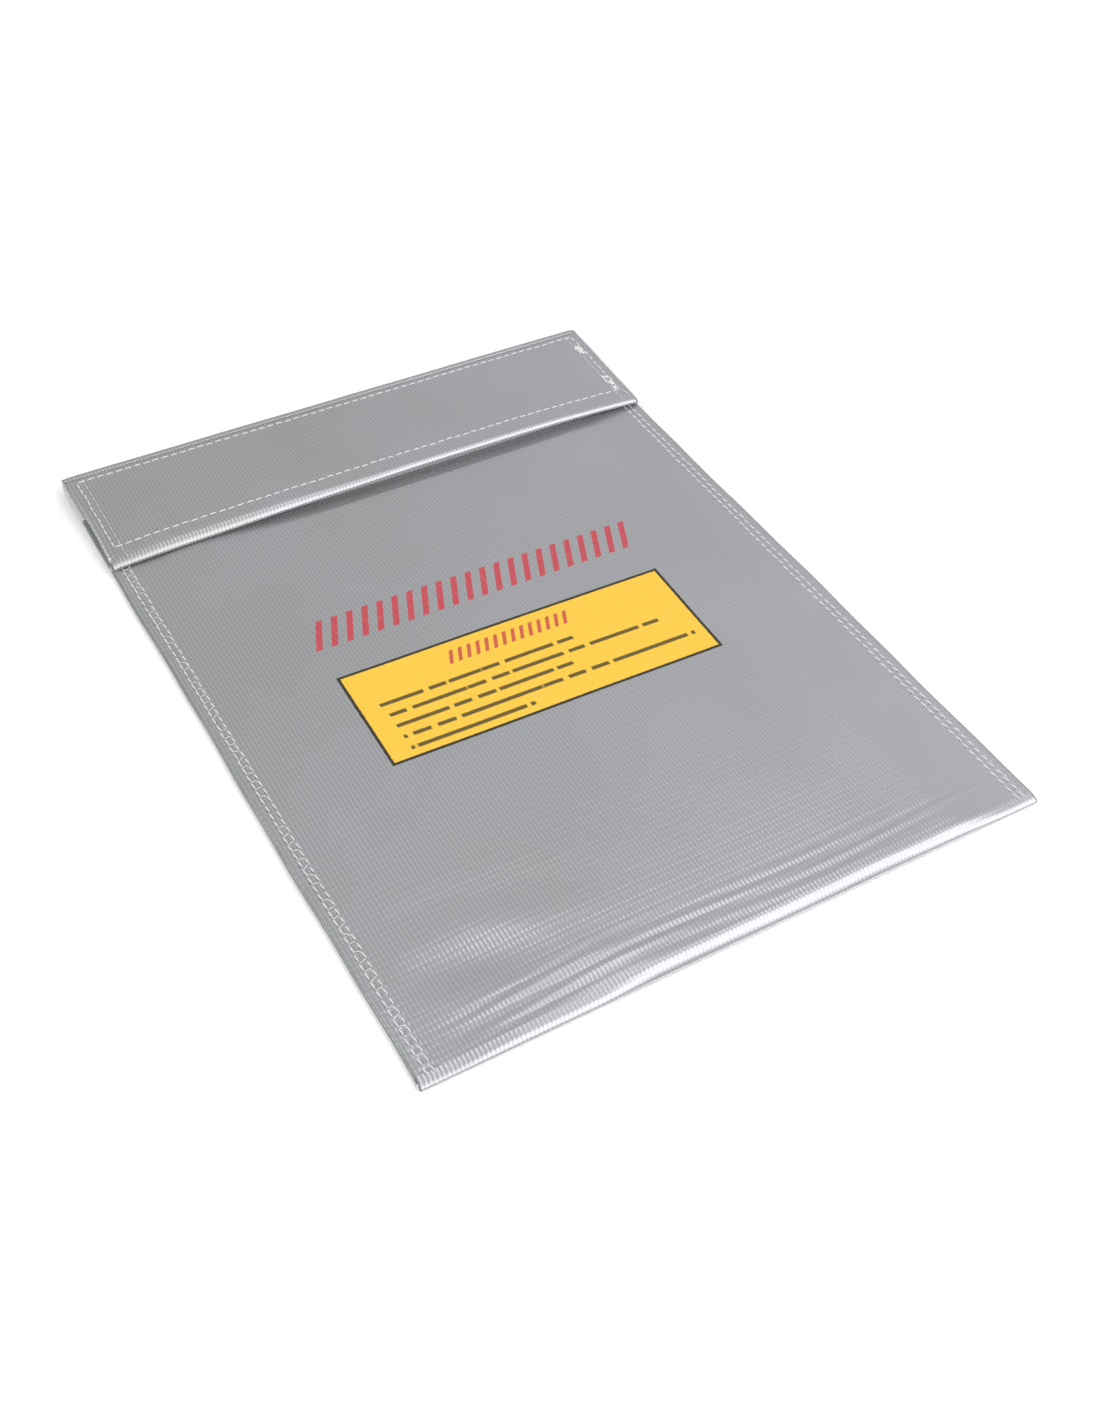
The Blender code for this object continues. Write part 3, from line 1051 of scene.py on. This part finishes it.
def rowMesh(start, stop, faceAt, underAt=None, radius=sewing["radius"], slant=0.0):
    # a row of stitches between two (x, y), and the bobbin thread underneath
    a = np.array([*start, 0.0])
    b = np.array([*stop, 0.0])
    direction = (b - a) / np.linalg.norm(b - a)
    count = round(np.linalg.norm(b - a) / stitchPitch)
    knots = a + (b - a) * np.linspace(0, 1, count + 1)[:, None]
    gap = direction * (stitchPitch - sewing["dash"]) / 2
    sideways = np.array([-direction[1], direction[0], 0.0])
    wander = sewing["wander"] * (np.abs(sideways[:2]) + 0.5 * np.abs(direction[:2]))
    radii = radius * np.array(sewing["swell"])
    lean = sideways * slant / 2
    paths = [stitchPaths(knots[:-1] + gap - lean, knots[1:] - gap + lean, faceAt, 1, wander)]
    if underAt:
        half = (knots[1] - knots[0]) / 2
        low = knots[:-2] + gap + half
        high = knots[1:-1] - gap + half
        paths.append(stitchPaths(low, high, underAt, -1, wander))
    return tubes(np.concatenate(paths), radii, sewing["sides"], sideways)


def threadPiece(node, meshes):
    points, faces, uv = joined(meshes)
    piece = newPiece(node + "_thread", points, faces, uv)
    piece.data.materials.append(thread)
    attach(piece, bodyOf(node))
    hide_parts(node)
    return piece


def seamFace(x, y):
    return frontTop(x, y) + pucker(x, y)


def backFace(x, y):
    return pouch["restHeight"] + 0 * x


def flapUnder(x, y):
    # the lowest face under the flap: the turned-in ply at the sides, else the hook tape's ground
    onSides = np.abs(x) > side - flap["turnedIn"]
    ply = np.where(onSides, 2 * flap["turnRadius"], tape["hookFoot"])
    return flapFace(x, y) - ply


def hemFace(x, y):
    return frontTop(x, y) + hem["lift"]


def loopFace(x, y):
    return frontTop(x, y) + tape["loopLift"]


tape = {
    "ground": 0.24 * mm,
    "gap": 0.02 * mm,
    "loopLift": 0.27 * mm,
    "loopPitch": 1.25 * mm,
    "loopHeight": 0.5 * mm,
    "loopHeights": (0.7, 1.1),
    "loopArm": 0.55 * mm,
    "loopLean": 0.25 * mm,
    "loopSink": 0.05 * mm,
    "loopInset": 2.1 * mm,
    "hookPitch": 1.7 * mm,
    "hookHeight": 0.5 * mm,
    "hookAcross": (0, 0.02, 0.24, 0.5, 0.56),
    "hookRise": (-0.1, 0.62, 0.98, 0.86, 0.52),
    "hookInset": 2.2 * mm,
    "hookFoot": 0.67 * mm,
    "fibre": 0.075 * mm,
    "hookThicker": 1.15,
    "fibreSides": 4,
    "uneven": 0.22,
}


def rungMesh(outerNode, innerNode):
    # fine crossing stitches from each needle hole of one row to the next row
    top, foot = rowEnds(outerNode)
    inner = rowEnds(innerNode)[0][0]
    count = round((top[1] - foot[1]) / stitchPitch)
    y = np.linspace(top[1], foot[1], count + 1)[1:-1]
    y = y[random.random(len(y)) < sewing["rungShare"]]
    lean = random.normal(0, sewing["rungLean"], len(y))
    starts = np.stack([np.full(len(y), inner), y - lean, 0 * y], -1)
    stops = np.stack([np.full(len(y), top[0]), y + lean, 0 * y], -1)
    paths = stitchPaths(starts, stops, seamFace, 1, sewing["wander"])
    radii = sewing["fineRadius"] * np.array(sewing["fineSwell"])
    return tubes(paths, radii, sewing["sides"], [0.0, 1.0, 0.0])


for node in ("left_outer_seam", "left_inner_seam", "right_outer_seam", "right_inner_seam"):
    node += "_stitching"
    meshes = [rowMesh(*rowEnds(node), seamFace, backFace, slant=sewing["slant"])]
    if node == "left_outer_seam_stitching":
        meshes.append(rungMesh(node, "left_inner_seam_stitching"))
    threadPiece(node, meshes)
threadPiece("mouth_hem_stitching", [rowMesh(*rowEnds("mouth_hem_stitching"), hemFace)])
for node in ("loop_tape_upper_stitching", "loop_tape_lower_stitching"):
    threadPiece(node, [rowMesh(*rowEnds(node), loopFace)])

# the flap's rows: a rectangle of long stitches, and a finer row inside each side
leftRow = rowEnds("flap_left_outer_stitching")[0][0]
rightRow = rowEnds("flap_right_outer_stitching")[0][0]
for node in ("flap_upper_stitching", "flap_lower_stitching"):
    height = rowEnds(node)[0][1]
    threadPiece(node, [rowMesh((leftRow, height), (rightRow, height), flapFace, flapUnder)])
for node in ("flap_left_outer_stitching", "flap_right_outer_stitching"):
    threadPiece(node, [rowMesh(*rowEnds(node), flapFace, flapUnder)])
for node in ("flap_left_inner_stitching", "flap_right_inner_stitching"):
    row = rowMesh(*rowEnds(node), flapFace, flapUnder, sewing["fineRadius"])
    threadPiece(node, [row])

tack = {
    "stitches": 20,
    "spread": 0.675 * mm,
    "turn": 0.8,
    "half": 1.5 * mm,
    "lengths": (0.6, 1.2),
    "pile": 0.35 * mm,
}


def tackMesh(node):
    # A back-tack: short stitches sewn over each other at odd angles about a row's end.
    (x, top), (_, foot) = rowEnds(node)
    count = tack["stitches"]
    x = x + random.normal(0, tack["spread"], count)
    middle = np.stack([x, random.uniform(foot, top, count), np.zeros(count)], -1)
    angle = random.normal(math.pi / 2, tack["turn"], count)
    reach = tack["half"] * random.uniform(*tack["lengths"], count)
    arm = np.stack([np.cos(angle), np.sin(angle), 0 * angle], -1) * reach[:, None]
    paths = stitchPaths(middle - arm, middle + arm, flapFace, 1, 0)
    paths[..., 2] += random.uniform(0, tack["pile"], count)[:, None]
    radii = sewing["radius"] * np.array(sewing["fineSwell"])
    return tubes(paths, radii, sewing["sides"], [0.0, 0.0, 1.0])


def looseThread(route, faceAt, radius):
    # a loose thread end on a face, along a smooth curve through (x, y, lift) points
    knots = np.array(route)
    path = throughKnots(knots, np.linspace(0, len(knots) - 1.001, 6 * len(knots))) * mm
    path[:, 2] += faceAt(path[:, 0], path[:, 1]) + radius
    radii = np.full(len(path), radius)
    radii[[0, -1]] *= 0.5
    return tubes(path[None], radii, sewing["sides"], [0.05, 0.03, 1.0])


curl = (
    (108.4, 107.6, 0.3),
    (109.2, 105.0, 0.5),
    (110.6, 102.9, 0.4),
    (111.3, 100.6, 0.2),
    (111.0, 98.9, 0.05),
)
threadPiece("flap_upper_back_tack", [tackMesh("flap_upper_back_tack")])
tail = looseThread(curl, flapFace, sewing["fineRadius"])
threadPiece("flap_lower_back_tack", [tackMesh("flap_lower_back_tack"), tail])
print("threads done")


def tapeGrid(node, faceAt, rows):
    # a tape's ground as a grid over its CAD node's outline
    low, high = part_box(node)
    x = np.linspace(low.x, high.x, stripColumns)
    y = np.linspace(low.y, high.y, rows)[:, None]
    points = sheetPoints(x, y, faceAt(x, y))
    return points, points[..., :2]


def fibreGrid(node, pitch, inset):
    # one place a fibre, on a slightly uneven square grid inside the selvedges
    low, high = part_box(node)
    x = np.arange(low.x + inset, high.x - inset, pitch)
    y = np.arange(low.y + inset, high.y - inset, pitch)
    spots = np.stack(np.meshgrid(x, y), -1).reshape(-1, 2)
    return spots + random.uniform(-tape["uneven"], tape["uneven"], spots.shape) * pitch


def loopMesh():
    # Arches of soft fibre leaning every way: p = foot + arm * cos(t) + up * height * sin(t).
    spots = fibreGrid("loop_tape", tape["loopPitch"], tape["loopInset"])
    count = len(spots)
    t = np.linspace(0, math.pi, 5)
    angle = random.uniform(0, math.pi, count)
    arm = np.stack([np.cos(angle), np.sin(angle)], -1) * tape["loopArm"]
    lean = random.normal(0, tape["loopLean"], (count, 2))
    flat = spots[:, None] + arm[:, None] * np.cos(t)[:, None] + lean[:, None] * np.sin(t)[:, None]
    rise = tape["loopHeight"] * random.uniform(*tape["loopHeights"], count)[:, None] * np.sin(t)
    height = loopFace(flat[..., 0], flat[..., 1]) + rise - tape["loopSink"]
    paths = np.concatenate([flat, height[..., None]], -1)
    radii = np.full(len(t), tape["fibre"])
    return tubes(paths, radii, tape["fibreSides"], [0.31, 0.17, 0.93])


def hookMesh():
    # Stiff hooks in rows, standing off the tape and bent over at the tip, half of them each way.
    spots = fibreGrid("hook_tape", tape["hookPitch"], tape["hookInset"])
    way = np.where(random.random(len(spots)) < 0.5, -1.0, 1.0)[:, None]
    across = np.array(tape["hookAcross"]) * mm * way
    rise = np.array(tape["hookRise"]) * tape["hookHeight"]
    x = spots[:, :1] + across
    y = spots[:, 1:] + 0 * across
    z = flapUnder(x, y) - rise
    radii = np.full(len(rise), tape["fibre"] * tape["hookThicker"])
    return tubes(np.stack([x, y, z], -1), radii, tape["fibreSides"], [0.0, 1.0, 0.0])


def fibrePiece(name, mesh, material, body):
    piece = newPiece(name, *mesh)
    piece.data.materials.append(material)
    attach(piece, body)
    return piece


points, uv = tapeGrid("loop_tape", loopFace, 23)
grounds = [loopGround] * 3
loopTape = clothPiece("loop_tape_ground", points, uv, *grounds, tape["ground"], flip=False)
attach(loopTape, "pouch")
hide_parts("loop_tape")
loops = fibrePiece("loop_tape_loops", loopMesh(), loopFibre, "pouch")
flatSize(uv)


def hookFace(x, y):
    return flapFace(x, y) - clothThickness - tape["gap"] - tape["ground"]


points, uv = tapeGrid("hook_tape", hookFace, 35)
grounds = [hookGround] * 3
hookTape = clothPiece("hook_tape_ground", points, uv, *grounds, tape["ground"])
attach(hookTape, "flap")
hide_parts("hook_tape")
hooks = fibrePiece("hook_tape_hooks", hookMesh(), hookFibre, "flap")
flatSize(uv)
print("tapes done")


studio = {
    "floorHeight": -0.3 * mm,
    "floorHalf": 4.0,
    "floor": (0.95, 0.95, 0.95, 1),
    "floorFleck": (0.94, 0.94, 0.94, 1),
    "world": (1.0, 1.0, 1.0, 1),
    "worldStrength": 0.57,
    "boxes": {
        "overhead": {"place": (0.32, 0.04, 1.05), "size": (0.55, 0.40), "energy": 1.3},
        "front": {"place": (0.25, -0.95, 1.05), "size": (2.6, 0.9), "energy": 18.5},
        "back": {"place": (-1.7, 1.3, 1.6), "size": (1.3, 1.3), "energy": 22.0},
    },
}


def studioFloor():
    half = studio["floorHalf"]
    corners = np.array([(-half, -half), (half, -half), (half, half), (-half, half)])
    points = np.concatenate([corners, np.full((4, 1), studio["floorHeight"])], 1)
    floor = newPiece("floor", points, np.array([[0, 1, 2, 3]]), smooth=False)
    paint = Paint("floorPaint")
    paint.put(paint.shader.inputs["Specular IOR Level"], 0.1)
    fine = paint.noise(paint.object(), 3.0)
    colour = paint.mix(fine, studio["floor"], studio["floorFleck"])
    floor.data.materials.append(paint.finish(colour, 0.9))


def studioLight():
    world = bpy.data.worlds.new("studio")
    bpy.context.scene.world = world
    world.use_nodes = True
    background = world.node_tree.nodes["Background"]
    background.inputs["Color"].default_value = studio["world"]
    background.inputs["Strength"].default_value = studio["worldStrength"]
    for name, box in studio["boxes"].items():
        lamp = bpy.data.lights.new(name, "AREA")
        lamp.shape = "RECTANGLE"
        lamp.size, lamp.size_y = box["size"]
        lamp.energy = box["energy"]
        lampObject = bpy.data.objects.new(name, lamp)
        lampObject.location = box["place"]
        lampObject.rotation_euler = Vector(box["place"]).to_track_quat("Z", "Y").to_euler()
        bpy.context.scene.collection.objects.link(lampObject)


view = {
    "place": (-0.22175, -0.38635, 0.41508),
    "forward": (0.36917, 0.59567, -0.71336),
    "up": (0.33705, 0.62951, 0.70008),
    "lens": 42.85,
    "sensor": 36,
    "nearest": 0.01,
}


def studioCamera():
    data = bpy.data.cameras.new("camera")
    data.lens = view["lens"]
    data.sensor_width = view["sensor"]
    data.clip_start = view["nearest"]
    camera = bpy.data.objects.new("camera", data)
    bpy.context.scene.collection.objects.link(camera)
    forward = Vector(view["forward"]).normalized()
    right = forward.cross(Vector(view["up"])).normalized()
    up = right.cross(forward)
    turned = Matrix((right, up, -forward)).transposed().to_4x4()
    camera.matrix_world = Matrix.Translation(Vector(view["place"])) @ turned
    bpy.context.scene.camera = camera


studioFloor()
studioLight()
studioCamera()
bpy.context.scene.view_settings.view_transform = "Standard"
print("studio done")

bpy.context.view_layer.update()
